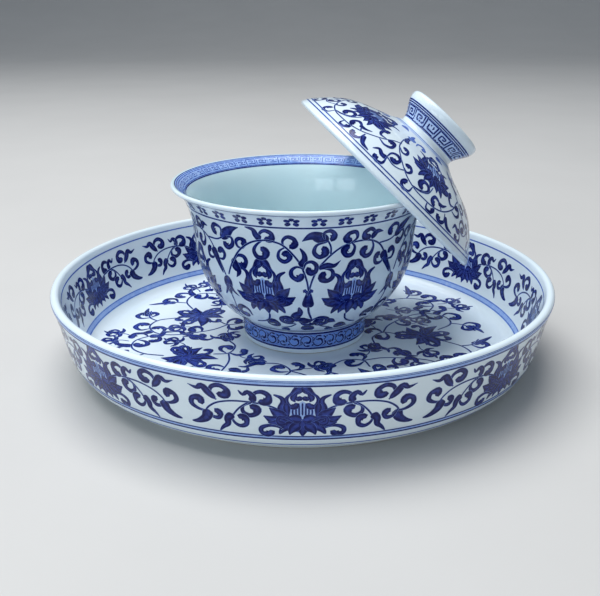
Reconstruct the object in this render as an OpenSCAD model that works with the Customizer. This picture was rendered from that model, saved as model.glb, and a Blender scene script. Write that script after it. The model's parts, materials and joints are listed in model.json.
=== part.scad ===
// Gaiwan: a lidded porcelain tea bowl standing in a deep round tray.
// Millimetres, +Z up. The origin is the centre of the tray's base, on the surface it stands on.
// The three pieces are turned shapes. The lid is stored hung on the bowl's lip.

/* [Tray] */
// Diameter over the tray's lip
tray_d = 180; // [150:1:230]
// Height of the tray
tray_h = 31; // [24:0.5:45]
// How far the tray's foot ring stands in from the edge of its lip
tray_foot_in = 15.48; // [9:0.02:20]
// Height of the tray's foot, below its wall
tray_foot_h = 2; // [1.5:0.1:4]
// Width of the flat ring that the tray stands on
tray_foot_w = 5; // [3:0.5:12]
// Height of the floor inside the tray
tray_floor = 4.5; // [4:0.1:9]
// Thickness of the tray's wall
tray_wall = 3; // [2:0.1:5]
// Radius of the cove between the tray's floor and wall
tray_cove = 7; // [3:0.5:14]

/* [Bowl] */
// Diameter over the bowl's lip
bowl_d = 96.5; // [75:1:120]
// Height of the bowl
bowl_h = 59.5; // [45:0.5:80]
// Diameter of the bowl's belly just under the flare
belly_d = 80.3; // [64:0.1:100]
// Diameter of the bowl's foot ring
bowl_foot_d = 46.4; // [36:0.5:60]
// Height of the bowl's foot ring
bowl_foot_h = 8.7; // [6:0.1:12]
// Width of the foot ring's wall
bowl_foot_w = 2.6; // [2:0.1:4]
// Depth of the hollow under the bowl
bowl_foot_hollow = 5; // [4.5:0.1:8]
// Thickness of the bowl's wall at its lip
bowl_lip_w = 1.6; // [1.2:0.1:2.4]
// Thickness of the bowl's wall at its bottom
bowl_base_w = 3; // [2.2:0.1:5]
// How far behind the tray's centre the bowl stands
bowl_back = 6.2; // [0:0.1:12]
// How far to the right of the tray's centre the bowl stands
bowl_right = 0.8; // [-8:0.1:8]

/* [Lid] */
// Diameter over the lid's rim
lid_d = 84.8; // [66:0.5:100]
// Height of the lid's dome, up to the knob's neck
lid_dome_h = 21.9; // [17:0.1:30]
// Thickness of the lid at its rim
lid_rim_w = 1.7; // [1.2:0.1:2.4]
// Thickness of the lid at its crown
lid_crown_w = 2.4; // [1.8:0.1:4]
// Diameter of the knob's neck
neck_d = 23.6; // [18:0.1:30]
// Diameter over the knob's lip
knob_d = 31; // [25:0.1:38]
// Height of the knob above the dome
knob_h = 10.6; // [8:0.1:18]
// Thickness of the knob's lip
knob_lip_w = 2.6; // [1.8:0.1:3.5]
// Depth of the hollow in the knob
knob_hollow = 8; // [5:0.5:12]

/* [Resting place of the lid] */
// Tilt of the hung lid from level
lid_tilt = 44.75; // [30:0.05:60]
// Direction that the lid faces, turned from +X
lid_turn = 7.4; // [-30:0.05:30]
// How far down the slope from the lid's centre the bowl's lip sits
lid_hook = 11.2; // [4:0.1:16]
// Gap between the lid and the bowl's lip
lid_gap = 0.3; // [0.2:0.05:0.6]

/* [Hidden] */
$fn = 96;
CURVE = 14;                     // chords in each drawn curve
ROUND = 8;                      // chords in each rounded edge
EDGE = 0.5;                     // rounding of the foot rings' edges

// ---- curves -------------------------------------------------------------------------------

// A cubic curve from a to d, pulled towards b and c.
function curve(a, b, c, d, n = CURVE) = [for (i = [0:n]) let (t = i / n, s = 1 - t)
    s * s * s * a + 3 * s * s * t * b + 3 * s * t * t * c + t * t * t * d];

// An arc about m, in n chords.
function arc(m, r, from, to, n = ROUND) = [for (i = [0:n]) let (a = from + (to - from) * i / n)
    m + r * [cos(a), sin(a)]];

// The direction of a line of points at point i.
function along(p, i) = let (d = p[min(i + 1, len(p) - 1)] - p[max(i - 1, 0)]) d / norm(d);

// A line of points moved to its left, by w0 at its start and w1 at its end.
function beside(p, w0, w1) = [for (i = [0:len(p) - 1])
    let (d = along(p, i), w = w0 + (w1 - w0) * i / (len(p) - 1)) p[i] + w * [-d.y, d.x]];

function back(p) = [for (i = [len(p) - 1:-1:0]) p[i]];
function join(a, b) = concat(a, [for (i = [1:len(b) - 1]) b[i]]);

// The round edge from the end of one line to the end of the line beside it.
function edge(a, b) = let (m = (a + b) / 2, v = a - b, r = norm(v) / 2, from = atan2(v.y, v.x))
    [for (i = [1:ROUND - 1]) m + r * [cos(from + 180 * i / ROUND), sin(from + 180 * i / ROUND)]];

// ---- tray ---------------------------------------------------------------------------------

tray_foot_r = tray_d / 2 - tray_foot_in;
tray_under = tray_foot_h * 0.8;                        // height of the base inside the foot ring
tray_start = [tray_foot_r + 0.3, tray_foot_h];
tray_lip = [tray_d - tray_wall, 2 * tray_h - tray_wall] / 2;         // centre of the round lip
tray_way = [0.33, 1] / norm([0.33, 1]);                // the wall's direction at the lip
tray_end = tray_lip + tray_wall / 2 * [tray_way.y, -tray_way.x];
tray_rise = tray_end - tray_start;
tray_out = curve(tray_start, tray_start + [0.9 * tray_rise.x, 0.13 * tray_rise.y],
    tray_end - 0.6 * tray_rise.y * tray_way, tray_end);
tray_in = [for (p = beside(tray_out, tray_wall * 1.25, tray_wall)) if (p.y > tray_floor + tray_cove) p];
tray_cove_way = (tray_in[1] - tray_in[0]) / norm(tray_in[1] - tray_in[0]);
tray_cove_line = let (start = [tray_in[0].x - tray_cove, tray_floor])
    curve(start, start + [tray_cove * 0.6, 0], tray_in[0] - tray_cove * 0.5 * tray_cove_way, tray_in[0], ROUND);

module tray() color([0.90, 0.95, 0.98]) rotate_extrude() polygon(concat(
    [[0, tray_floor], [0, tray_under]],
    [[tray_foot_r - tray_foot_w - EDGE, tray_under], [tray_foot_r - tray_foot_w, 0]],
    arc([tray_foot_r - EDGE, EDGE], EDGE, -90, 0),
    [[tray_foot_r, tray_under]],
    tray_out,
    edge(tray_out[CURVE], tray_in[len(tray_in) - 1]),
    back(join(tray_cove_line, tray_in))));

// ---- bowl ---------------------------------------------------------------------------------

bowl_lip = [bowl_d - bowl_lip_w, 2 * bowl_h - bowl_lip_w] / 2;       // centre of the round lip
foot_top = [bowl_foot_d / 2 + 0.4, bowl_foot_h];
belly = [belly_d / 2, bowl_h * 0.6];
belly_way = [0.06, 1] / norm([0.06, 1]);               // the wall's direction at the belly
lip_way = [1, 0.36] / norm([1, 0.36]);                 // the wall's direction at the lip
lip_out = bowl_lip + bowl_lip_w / 2 * [lip_way.y, -lip_way.x];
bowl_out = join(
    curve(foot_top, foot_top + [0.38 * (belly.x - foot_top.x), 0.053 * bowl_h],
        belly - 0.217 * bowl_h * belly_way, belly),
    curve(belly, belly + 0.157 * bowl_h * belly_way,
        lip_out - 0.8 * (lip_out.x - belly.x) * lip_way, lip_out));
bowl_in = [for (p = beside(bowl_out, bowl_base_w, bowl_lip_w)) if (p.y > bowl_foot_h + 1) p];
bowl_bottom = bowl_foot_hollow + bowl_base_w;
bowl_floor = curve([0, bowl_bottom], [bowl_in[0].x * 0.45, bowl_bottom],
    bowl_in[0] - [bowl_in[0].x * 0.28, (bowl_in[0].y - bowl_bottom) * 0.75], bowl_in[0]);

module bowl() color([0.88, 0.94, 0.97]) translate([bowl_right, bowl_back, tray_floor])
    rotate_extrude() polygon(concat(
        [[0, bowl_foot_hollow], [bowl_foot_d / 2 - bowl_foot_w - EDGE, bowl_foot_hollow]],
        arc([bowl_foot_d / 2 - bowl_foot_w + EDGE, EDGE], EDGE, 180, 270),
        arc([bowl_foot_d / 2 - EDGE, EDGE], EDGE, -90, 0),
        bowl_out,
        edge(bowl_out[2 * CURVE], bowl_in[len(bowl_in) - 1]),
        back(join(bowl_floor, bowl_in))));

// ---- lid ----------------------------------------------------------------------------------

lid_r = lid_d / 2;
lid_edge = [lid_r, lid_rim_w / 2];                     // the rim's widest place
shoulder = [0.62 * lid_r, 0.7 * lid_dome_h];
slope = [0.92, -0.39];                                 // the dome's direction outwards at its shoulder
neck = [neck_d / 2, lid_dome_h];
lid_out = join(
    curve(lid_edge, lid_edge + [-0.007 * lid_r, 0.06 * lid_dome_h], shoulder + 0.227 * lid_r * slope, shoulder),
    curve(shoulder, shoulder - 0.108 * lid_r * slope, neck + [0.041 * lid_r, -0.095 * lid_dome_h], neck));
crown_y = 0.885 * lid_dome_h - lid_crown_w;            // height of the crown's inside
lid_in = [for (p = beside(lid_out, lid_rim_w, lid_crown_w)) if (p.y > lid_edge.y && p.y < crown_y - 0.3) p];
crown_edge = lid_in[len(lid_in) - 1];
lid_crown = curve(crown_edge, crown_edge + 0.25 * crown_edge.x * [-slope.x, -slope.y],
    [0.35 * crown_edge.x, crown_y], [0, crown_y], ROUND);
knob_top = lid_dome_h + knob_h;
knob_wide = [knob_d / 2, knob_top - knob_lip_w / 2];   // the knob's widest place
knob_out = curve(neck, neck + [-0.3, 0.32 * knob_h], knob_wide + [0.2, -0.35 * knob_h], knob_wide);
knob_in = let (start = knob_wide - [knob_lip_w, 0]) curve(start, start - [0, 0.35 * knob_h],
    [neck.x - knob_lip_w, knob_top - 0.85 * knob_hollow], [neck.x - knob_lip_w - 1.5, knob_top - knob_hollow]);

// The lid's underside, from its axis out to its rim: its height above the rim plane at each radius.
lid_rim = edge(lid_in[0], lid_edge);
lid_under = concat(back(lid_crown), back(lid_in), lid_rim, [lid_edge]);

// The lift along the lid's axis that leaves the gap between the lid and every part of the bowl's lip.
slope_way = bowl_lip.x * cos(lid_tilt) - lid_hook;          // from the lip's centre to the lid's, down the slope
lip_fat = bowl_lip_w / 2 + lid_gap;
function lip_need(a, m) = let (q = bowl_lip.x + lip_fat * cos(m), x = q * cos(a), y = q * sin(a),
    z = lip_fat * sin(m), down = x * cos(lid_tilt) - z * sin(lid_tilt) - slope_way,
    up = x * sin(lid_tilt) + z * cos(lid_tilt), r = norm([down, y]))
    r > lid_r ? 0 : up - lookup(r, lid_under);
lid_lift = max([for (a = [0:0.25:90], m = [0:15:345]) lip_need(a, m)]);

module lid_place() translate([bowl_right, bowl_back, tray_floor + bowl_lip.y]) rotate([0, 0, lid_turn])
    rotate([0, lid_tilt, 0]) translate([slope_way, 0, lid_lift]) children();

module lid() color([0.93, 0.96, 0.96]) lid_place() rotate_extrude() polygon(concat(
    back(concat(lid_in, [for (i = [1:ROUND]) lid_crown[i]])),
    lid_rim,
    lid_out,
    [for (i = [1:CURVE]) knob_out[i]],
    edge(knob_wide, knob_in[0]),
    knob_in,
    [[0, knob_top - knob_hollow]]));

tray();
bowl();
lid();
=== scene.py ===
"""A gaiwan: a lidded porcelain tea bowl in a deep round tray, painted in cobalt blue."""
import json
import math

import bpy
import numpy as np
from mathutils import Matrix, Vector


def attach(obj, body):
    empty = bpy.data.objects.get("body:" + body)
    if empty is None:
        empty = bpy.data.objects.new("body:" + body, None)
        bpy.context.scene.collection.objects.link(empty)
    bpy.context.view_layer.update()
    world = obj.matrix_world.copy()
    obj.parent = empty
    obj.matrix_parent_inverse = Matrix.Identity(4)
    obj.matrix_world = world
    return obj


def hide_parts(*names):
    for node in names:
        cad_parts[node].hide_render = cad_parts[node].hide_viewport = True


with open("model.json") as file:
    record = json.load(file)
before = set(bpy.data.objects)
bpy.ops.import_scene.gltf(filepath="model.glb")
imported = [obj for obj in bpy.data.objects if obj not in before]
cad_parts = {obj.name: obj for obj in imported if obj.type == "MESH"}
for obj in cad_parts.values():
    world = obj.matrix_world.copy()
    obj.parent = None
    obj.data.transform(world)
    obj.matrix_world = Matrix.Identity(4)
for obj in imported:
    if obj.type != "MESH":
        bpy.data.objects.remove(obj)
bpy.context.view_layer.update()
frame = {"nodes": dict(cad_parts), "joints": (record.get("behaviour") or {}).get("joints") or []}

bl_info = {
    "name": "Gaiwan",
    "version": (1, 0, 0),
    "blender": (4, 5, 0),
    "location": "3D View > Sidebar > Gaiwan",
    "description": "Turns, glazes and paints a porcelain tea bowl with its lid and tray",
    "category": "Add Mesh",
}

MM = 0.001
TURNS = 256             # steps in each turned body

# Sizes in mm that the part has too, and that a user leaves alone.
TRAY_FLOOR = 4.5        # height of the floor that the bowl stands on
TRAY_FOOT_IN = 15.48    # how far the foot ring stands in from the edge of the lip
BOWL_FOOT_R = 23.2      # radius of the bowl's foot ring where it stands
BOWL_FOOT_TOP = (23.6, 8.7)     # radius and height where the bowl's wall leaves the foot ring
NECK_R = 11.8           # radius of the lid's neck, between the dome and the knob
WELL_DEEP = 8           # depth of the hollow in the knob

# ---- what a user would change -------------------------------------------------------------


def length(name, description, default):
    return bpy.props.FloatProperty(
        name=name, description=description, default=default * MM, unit="LENGTH", precision=4)


def colour(name, description, default):
    return bpy.props.FloatVectorProperty(
        name=name, description=description, default=default, subtype="COLOR", min=0, max=1)


class GaiwanSizes(bpy.types.PropertyGroup):
    """Sizes of the three turned pieces; they follow the part's own."""
    tray_d: length("Tray width", "Diameter of the tray over its lip", 180)
    tray_h: length("Tray height", "Height of the tray", 31)
    bowl_d: length("Bowl width", "Diameter of the bowl over its lip", 96.5)
    bowl_h: length("Bowl height", "Height of the bowl", 59.5)
    bowl_right: length("Bowl to the right", "Place of the bowl in the tray", 0.8)
    bowl_back: length("Bowl to the back", "Place of the bowl in the tray", 6.2)
    lid_d: length("Lid width", "Diameter of the lid over its rim", 84.8)
    lid_dome_h: length("Dome height", "Height of the lid's dome to its neck", 21.9)
    knob_d: length("Knob width", "Diameter of the knob over its lip", 31)
    knob_h: length("Knob height", "Height of the knob above the dome", 10.6)


class GaiwanFinish(bpy.types.PropertyGroup):
    """Glaze and cobalt."""
    glaze: colour("Glaze", "White porcelain under clear glaze", (0.75, 0.85, 0.91))
    # Darker than the glaze: partly glaze lying thick, partly painted shade for the bowl's hollow.
    celadon_and_shade: colour("Pooled and shaded glaze", "The glaze where it lies thick, darkened as painted shade inside the bowl", (0.64, 0.79, 0.82))
    wash: colour("Wash", "Cobalt thinned with water", (0.045, 0.075, 0.40))
    line: colour("Line", "Cobalt laid on thick", (0.003, 0.006, 0.095))
    biscuit: colour("Biscuit", "Bare body of the foot rings", (0.62, 0.58, 0.52))
    roughness: bpy.props.FloatProperty(
        name="Roughness", description="Roughness of the glaze, 0 for a mirror",
        default=0.09, min=0, max=1, subtype="FACTOR")
    painting_lift: bpy.props.FloatProperty(
        name="Painting lift", description="Height of the painting over the body",
        default=0.03 * MM, unit="LENGTH", precision=6)


class GaiwanStage(bpy.types.PropertyGroup):
    """Floor, light and camera."""
    floor: colour("Floor", "Colour of the floor and backdrop", (0.60, 0.59, 0.57))
    lens: bpy.props.FloatProperty(
        name="Lens", description="Focal length in mm", default=48.57)
    camera_back: length("Camera back", "How far the camera stands in front", 284.26)
    camera_high: length("Camera height", "How high the camera stands", 127.45)
    camera_down: bpy.props.FloatProperty(
        name="Camera tilt", description="How far the camera looks down",
        default=0.362, subtype="ANGLE")


# ---- lines and profiles, in mm ------------------------------------------------------------


def vec(*v):
    """A radius and a height, or an x and a y."""
    return np.array(v, float)


def unit(*v):
    """The same way, one long."""
    return vec(*v) / np.linalg.norm(v)


def curve(a, b, c, d, n=36):
    """A cubic curve from a to d, pulled towards b and c."""
    t = np.linspace(0, 1, n + 1)[:, None]
    s = 1 - t
    return s**3 * a + 3 * s * s * t * b + 3 * s * t * t * c + t**3 * d


def beside(line, w0, w1):
    """A line moved to its left, by w0 at its start and w1 at its end."""
    way = np.gradient(line, axis=0)
    way /= np.linalg.norm(way, axis=1)[:, None]
    w = np.linspace(w0, w1, len(line))[:, None]
    return line + w * np.stack([-way[:, 1], way[:, 0]], 1)


def edge(a, b, n=12):
    """The round edge from a to b, turning left."""
    m, v = (a + b) / 2, a - b
    r, start = np.linalg.norm(v) / 2, math.atan2(v[1], v[0])
    t = start + math.pi * np.arange(1, n) / n
    return m + r * np.stack([np.cos(t), np.sin(t)], 1)


def arc(m, r, start, end, n=8):
    """Part of a circle round m, between two angles in degrees."""
    t = np.radians(np.linspace(start, end, n + 1))
    return m + r * np.stack([np.cos(t), np.sin(t)], 1)


def setting_names(group):
    return [n for n in group.bl_rna.properties.keys() if n not in ("rna_type", "name")]


def sizes():
    """The sizes a user can change, in mm."""
    group = bpy.context.scene.gaiwan_sizes
    return {n: getattr(group, n) / MM for n in setting_names(group)}


def tray_lines():
    """The tray's outside, lip and inside, its foot's radius and its underside's height."""
    s = sizes()
    foot, foot_h, wall, cove = s["tray_d"] / 2 - TRAY_FOOT_IN, 2, 3, 7
    start = vec(foot + 0.3, foot_h)
    way = unit(0.33, 1)
    end = vec(s["tray_d"] - wall, 2 * s["tray_h"] - wall) / 2 + wall / 2 * vec(way[1], -way[0])
    rise = end - start
    outside = curve(start, start + vec(0.9 * rise[0], 0.13 * rise[1]),
                    end - 0.6 * rise[1] * way, end)
    inside = beside(outside, wall * 1.25, wall)
    inside = inside[inside[:, 1] > TRAY_FLOOR + cove]
    lean = unit(*(inside[1] - inside[0]))
    at = vec(inside[0][0] - cove, TRAY_FLOOR)
    corner = curve(at, at + [cove * 0.6, 0], inside[0] - cove / 2 * lean, inside[0], 16)
    inside = np.vstack([[[0, TRAY_FLOOR]], corner, inside[1:]])
    return outside, edge(outside[-1], inside[-1]), inside, foot, foot_h * 0.8


def bowl_lines():
    """The bowl's outside above its foot ring, its lip and its inside."""
    s = sizes()
    h, wall, floor = s["bowl_h"], 1.6, 8
    lip, foot = vec(s["bowl_d"] - wall, 2 * h - wall) / 2, vec(*BOWL_FOOT_TOP)
    belly, up, out = vec(40.15, 0.6 * h), unit(0.06, 1), unit(1, 0.36)
    end = lip + wall / 2 * vec(out[1], -out[0])
    low = curve(foot, foot + vec(0.38 * (belly[0] - foot[0]), 0.053 * h),
                belly - 0.217 * h * up, belly)
    high = curve(belly, belly + 0.157 * h * up, end - 0.8 * (end[0] - belly[0]) * out, end)
    outside = np.vstack([low, high[1:]])
    inside = beside(outside, 3, wall)
    inside = inside[inside[:, 1] > foot[1] + 1]
    first = inside[0]
    bottom = curve(vec(0, floor), vec(first[0] * 0.45, floor),
                   first - vec(first[0] * 0.28, (first[1] - floor) * 0.75), first)
    inside = np.vstack([bottom, inside[1:]])
    return outside, edge(outside[-1], inside[-1]), inside


def lid_lines():
    """The lid's outside, its knob, the knob's well and the inside, and the height of it all."""
    s = sizes()
    r, h, knob_h = s["lid_d"] / 2, s["lid_dome_h"], s["knob_h"]
    rim, shoulder = vec(r, 0.85), vec(0.62 * r, 0.7 * h)
    slope, neck = vec(0.92, -0.39), vec(NECK_R, h)
    low = curve(rim, rim + vec(-0.007 * r, 0.06 * h), shoulder + 0.227 * r * slope, shoulder)
    high = curve(shoulder, shoulder - 0.108 * r * slope, neck + vec(0.041 * r, -0.095 * h), neck)
    outside = np.vstack([low, high[1:]])
    crown = 0.885 * h - 2.4
    inside = beside(outside, 1.7, 2.4)
    inside = inside[(inside[:, 1] > rim[1]) & (inside[:, 1] < crown - 0.3)]
    last = inside[-1]
    middle = curve(last, last - 0.25 * last[0] * slope, vec(0.35 * last[0], crown),
                   vec(0, crown), 16)
    inside = np.vstack([inside, middle[1:]])
    top, lip_w = h + knob_h, 2.6
    wide = vec(s["knob_d"] / 2, top - lip_w / 2)
    knob = curve(neck, neck + vec(-0.3, 0.32 * knob_h), wide + vec(0.2, -0.35 * knob_h), wide, 24)
    start = wide - vec(lip_w, 0)
    well = curve(start, start - vec(0, 0.35 * knob_h), vec(neck[0] - lip_w, top - 6.8),
                 vec(neck[0] - 4.1, top - WELL_DEEP), 16)
    return outside, knob, well, inside, top


def bowl_place():
    """Where the bowl stands on the tray's floor."""
    s = sizes()
    return Matrix.Translation((s["bowl_right"] * MM, s["bowl_back"] * MM, TRAY_FLOOR * MM))


def lid_place():
    """Where the lid hangs, read off the frame: its lift axis, and the middle of its rim."""
    lift = next(j for j in frame["joints"] if j["name"] == "lid_lift")
    axis = Vector(lift["axis"]).normalized()
    down = Vector((axis.x, axis.y, 0)).normalized()
    side = Vector((0, 0, 1)).cross(down)
    slope = side.cross(axis)
    co = np.array([v.co for v in frame["nodes"]["lid"].data.vertices], float)
    across = [co @ np.array(d) for d in (slope, side)]
    middle = [a.min() / 2 + a.max() / 2 for a in across]
    low = (co @ np.array(axis)).min()
    place = Matrix((slope, side, axis)).transposed().to_4x4()
    place.translation = slope * middle[0] + side * middle[1] + axis * low
    return place


# ---- turned bodies ------------------------------------------------------------------------


def clear_selection():
    if bpy.context.object and bpy.context.object.mode != "OBJECT":
        bpy.ops.object.mode_set(mode="OBJECT")
    bpy.ops.object.select_all(action="DESELECT")


def turn(name, outline, place):
    """Spins a profile about its axis: a line from the axis outside to the axis inside."""
    clear_selection()
    bpy.ops.curve.primitive_bezier_curve_add(radius=1, location=(0, 0, 0))
    line = bpy.context.object
    line.name = name
    line.data.splines.clear()
    spline = line.data.splines.new("POLY")
    spline.points.add(len(outline) - 1)
    for point, (r, z) in zip(spline.points, outline):
        point.co = (r * MM, 0, z * MM, 1)
    bpy.ops.object.convert(target="MESH")
    body = bpy.context.object
    bpy.ops.object.mode_set(mode="EDIT")
    bpy.ops.mesh.select_all(action="SELECT")
    bpy.ops.mesh.spin(steps=TURNS, angle=2 * math.pi, center=(0, 0, 0), axis=(0, 0, 1))
    bpy.ops.mesh.select_all(action="SELECT")
    bpy.ops.mesh.remove_doubles(threshold=1e-6)
    bpy.ops.mesh.normals_make_consistent(inside=False)
    bpy.ops.object.mode_set(mode="OBJECT")
    bpy.ops.object.shade_smooth_by_angle(angle=math.radians(50))
    body.data.transform(place)
    body.matrix_world = Matrix.Identity(4)
    if not body.data.polygons:
        raise RuntimeError(f"{name} came out empty")
    return body


class Turned:
    """A side of a turned body: how far along its profile and how far round gives a place on it."""

    def __init__(self, line, place, side=1):
        self.line, self.place = line, np.array(place)
        self.way = np.concatenate([[0], np.cumsum(np.linalg.norm(np.diff(line, axis=0), axis=1))])
        along = np.gradient(line, self.way + np.arange(len(line)) * 1e-9, axis=0)
        along /= np.linalg.norm(along, axis=1)[:, None]
        self.out = side * np.stack([along[:, 1], -along[:, 0]], 1)
        self.end = self.way[-1]

    def at(self, way, angle, lift):
        """Places a lift above the surface, and the normals there."""
        r, z, nr, nz = (np.interp(way, self.way, v) for v in (*self.line.T, *self.out.T))
        c, s = np.cos(angle), np.sin(angle)
        point = np.stack([(r + lift * nr) * c, (r + lift * nr) * s, z + lift * nz], 1) * MM
        normal = np.stack([nr * c, nr * s, nz], 1)
        turn = self.place[:3, :3]
        return point @ turn.T + self.place[:3, 3], normal @ turn.T


def round_wall(surface, middle, reference, flip=1):
    """A flat drawing wrapped round a wall: x goes round, in mm at the reference radius,
    and y goes up the profile."""
    def where(p, lift):
        return surface.at(p[:, 1], middle + flip * p[:, 0] / reference, lift)
    return where


def from_above(surface, along):
    """A flat drawing laid over a floor or a dome, from its middle outwards."""
    def where(p, lift):
        r = np.hypot(p[:, 0], p[:, 1])
        return surface.at(along(r), np.arctan2(p[:, 1], p[:, 0]), lift)
    return where


# ---- brush strokes ------------------------------------------------------------------------


def points(text):
    """Points written as x,y with blanks between them."""
    return np.array([[float(v) for v in p.split(",")] for p in text.split()])


def smooth(p, step):
    """A smooth line through the points, in even steps."""
    if len(p) < 3:
        n = max(2, int(np.linalg.norm(p[-1] - p[0]) / step) + 1)
        return p[0] + (p[-1] - p[0]) * np.linspace(0, 1, n)[:, None]
    q = np.vstack([2 * p[0] - p[1], p, 2 * p[-1] - p[-2]])
    out = []
    for a, b, c, d in zip(q, q[1:], q[2:], q[3:]):
        t = np.linspace(0, 1, 12, endpoint=False)[:, None]
        out.append(0.5 * (2 * b + (c - a) * t + (2 * a - 5 * b + 4 * c - d) * t**2
                          + (3 * b - a - 3 * c + d) * t**3))
    out = np.vstack([*out, p[-1:]])
    way = np.concatenate([[0], np.cumsum(np.linalg.norm(np.diff(out, axis=0), axis=1))])
    n = max(4, int(way[-1] / step) + 1)
    even = np.linspace(0, way[-1], n)
    return np.stack([np.interp(even, way, v) for v in out.T], 1)


def rounded(x):
    """A quarter circle, from 0 at x = 0 up to 1 at x = 1."""
    return np.sqrt(np.clip(1 - (1 - np.clip(x, 0, 1)) ** 2, 0, 1))


def widths(kind, t, w, long):
    """Half the width along a stroke, from its start to its end."""
    round_start = rounded(t * long / (w / 2))
    round_end = rounded((1 - t) * long / (w * 0.62))
    if kind == "curl":          # thin tail to a fat round head
        swell = np.clip((t - 0.66) / 0.2, 0, 1)
        swell *= swell * (3 - 2 * swell)
        return w / 2 * (0.14 + 0.50 * np.clip(t / 0.5, 0, 1) ** 1.1 + 0.56 * swell) * round_end
    if kind == "leaf":          # fat near its start, drawn out to a point
        return w / 2 * np.clip(np.sin(math.pi * np.clip(t, 0, 1) ** 0.62), 0.03, 1)
    if kind == "flame":         # round start, drawn out to a point
        return w / 2 * round_start * (0.06 + 0.94 * (1 - t) ** 0.75)
    if kind == "blob":          # round at both ends
        return w / 2 * round_start * round_end
    if kind in ("ring", "bar"):         # the same all along
        return np.full_like(t, w / 2)
    # A line, a little thinner at its ends.
    return w / 2 * np.clip(np.minimum(t, 1 - t) * long / (1.5 * w) + 0.35, 0, 1)


class Painting:
    """Gathers brush strokes laid just over a surface, then makes one mesh of them."""

    layers, layer = 16, 0.0022      # strokes lie on so many levels in turn, this far apart
    step, ring_step = 0.45, 1.2     # distance between the cross-sections of a stroke
    bend = 0.92                     # how much of a bend's radius the inner side may fill
    hook, hook_long = 1.15, 0.34    # turn of a curl's head, and its length in widths
    wide = 0.8                      # a wider stroke has a lighter heart
    dark_edge = 0.02                # how far in from the side the cobalt is at its full tone

    def __init__(self, lift):
        self.lift, self.count = lift / MM, 0
        self.co, self.normal, self.tone, self.faces, self.base = [], [], [], [], 0

    def stroke(self, where, line, w, kind="curl", depth=1.0, heart=0.84, step=None, fringe=0.06):
        """Lays one stroke through the points of a line."""
        line = np.asarray(line, float)
        if kind == "curl" and len(line) > 3:       # the head of a curl turns in on itself
            a, b = line[-2] - line[-3], line[-1] - line[-2]
            turn = math.copysign(self.hook, a[0] * b[1] - a[1] * b[0])
            b = b / np.linalg.norm(b) * w * self.hook_long
            c, s = math.cos(turn), math.sin(turn)
            line = np.vstack([line, line[-1] + [b[0] * c - b[1] * s, b[0] * s + b[1] * c]])
        p = smooth(line, self.ring_step if kind == "ring" else step or self.step)
        d = np.gradient(p, axis=0)
        d /= np.maximum(np.linalg.norm(d, axis=1), 1e-9)[:, None]
        way = np.concatenate([[0], np.cumsum(np.linalg.norm(np.diff(p, axis=0), axis=1))])
        half = widths(kind, way / way[-1], w, way[-1])
        n = np.stack([-d[:, 1], d[:, 0]], 1)
        # In a tight bend the inner side is held short of the bend's middle.
        turn = np.gradient(np.unwrap(np.arctan2(d[:, 1], d[:, 0])), way)
        left, right = (np.where(v > 1e-3, np.minimum(half, self.bend / np.maximum(v, 1e-3)), half)
                       for v in (turn, -turn))
        # Across the stroke: share of the half width, distance further out, tone of the cobalt.
        soft, dark = min(0.13, 0.2 * w + 0.03), -self.dark_edge
        if w > self.wide:
            across = [(-1, soft, fringe), (-1, dark, depth), (-0.62, 0, depth),
                      (-0.25, 0, depth * heart), (0.25, 0, depth * heart),
                      (0.62, 0, depth), (1, dark, depth), (1, soft, fringe)]
        else:
            across = [(-1, soft, fringe), (-0.7, 0, depth), (0.7, 0, depth), (1, soft, fringe)]
        rows = []
        for share, out, _ in across:
            off = share * (left if share > 0 else right) + np.sign(share) * out
            rows.append(p + n * off[:, None])
        self.count += 1
        co, normal = where(np.stack(rows, 1).reshape(-1, 2),
                           self.lift + self.layer * (self.count % self.layers))
        self._add(co, normal, [a[2] for a in across], len(p))

    def _add(self, co, normal, tones, long):
        """Joins rows of points into a strip; each row has the same tones."""
        wide = len(tones)
        i = np.arange(long - 1)[:, None] * wide + np.arange(wide - 1)[None]
        quads = np.stack([i, i + 1, i + 1 + wide, i + wide], -1).reshape(-1, 4)
        a, b, c = (co[quads[:, k]] for k in (0, 1, 3))
        facing = np.einsum("ij,ij->i", np.cross(b - a, c - a), normal[quads[:, 0]])
        if np.median(facing) < 0:
            quads = quads[:, ::-1]
        self.co.append(co)
        self.normal.append(normal)
        self.tone.append(np.tile(tones, long))
        self.faces.append(quads + self.base)
        self.base += len(co)

    def patch(self, where, outline, depth):
        """A pale wash inside a closed outline."""
        p = smooth(np.vstack([outline, outline[:1]]), 0.6)[:-1]
        middle = p.mean(0)
        rings = [(1.0, 0.0), (0.86, depth), (0.5, depth), (0.04, depth)]
        grid = np.stack([middle + (p - middle) * s for s, _ in rings], 1)
        grid = np.vstack([grid, grid[:1]])
        self.count += 1
        co, normal = where(grid.reshape(-1, 2), self.lift * 0.6)
        self._add(co, normal, [tone for _, tone in rings], len(grid))

    def hoops(self, where, reference, *rows):
        """Lines all the way round: how far up, how wide, and the tone."""
        x = np.linspace(-reference * math.pi, reference * math.pi, 361)
        for y, w, depth in rows:
            self.stroke(where, np.stack([x, np.full_like(x, y)], 1), w, "ring", depth)

    def mesh(self, name, body, slot):
        """Makes the piece, riding on its body."""
        co, normal = np.vstack(self.co), np.vstack(self.normal)
        data = bpy.data.meshes.new(name)
        data.from_pydata(co.tolist(), [], np.vstack(self.faces).tolist())
        data.attributes.new("tone", "FLOAT", "POINT").data.foreach_set(
            "value", np.concatenate(self.tone).astype(np.float32))
        data.polygons.foreach_set("use_smooth", [True] * len(data.polygons))
        data.normals_split_custom_set_from_vertices(normal.tolist())
        piece = bpy.data.objects.new(name, data)
        bpy.context.scene.collection.objects.link(piece)
        data.materials.append(glazed("cobalt under glaze"))
        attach(piece, body)


def mirrored(strokes):
    return [(kind, w, line * [-1, 1]) for kind, w, line in strokes]


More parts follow.
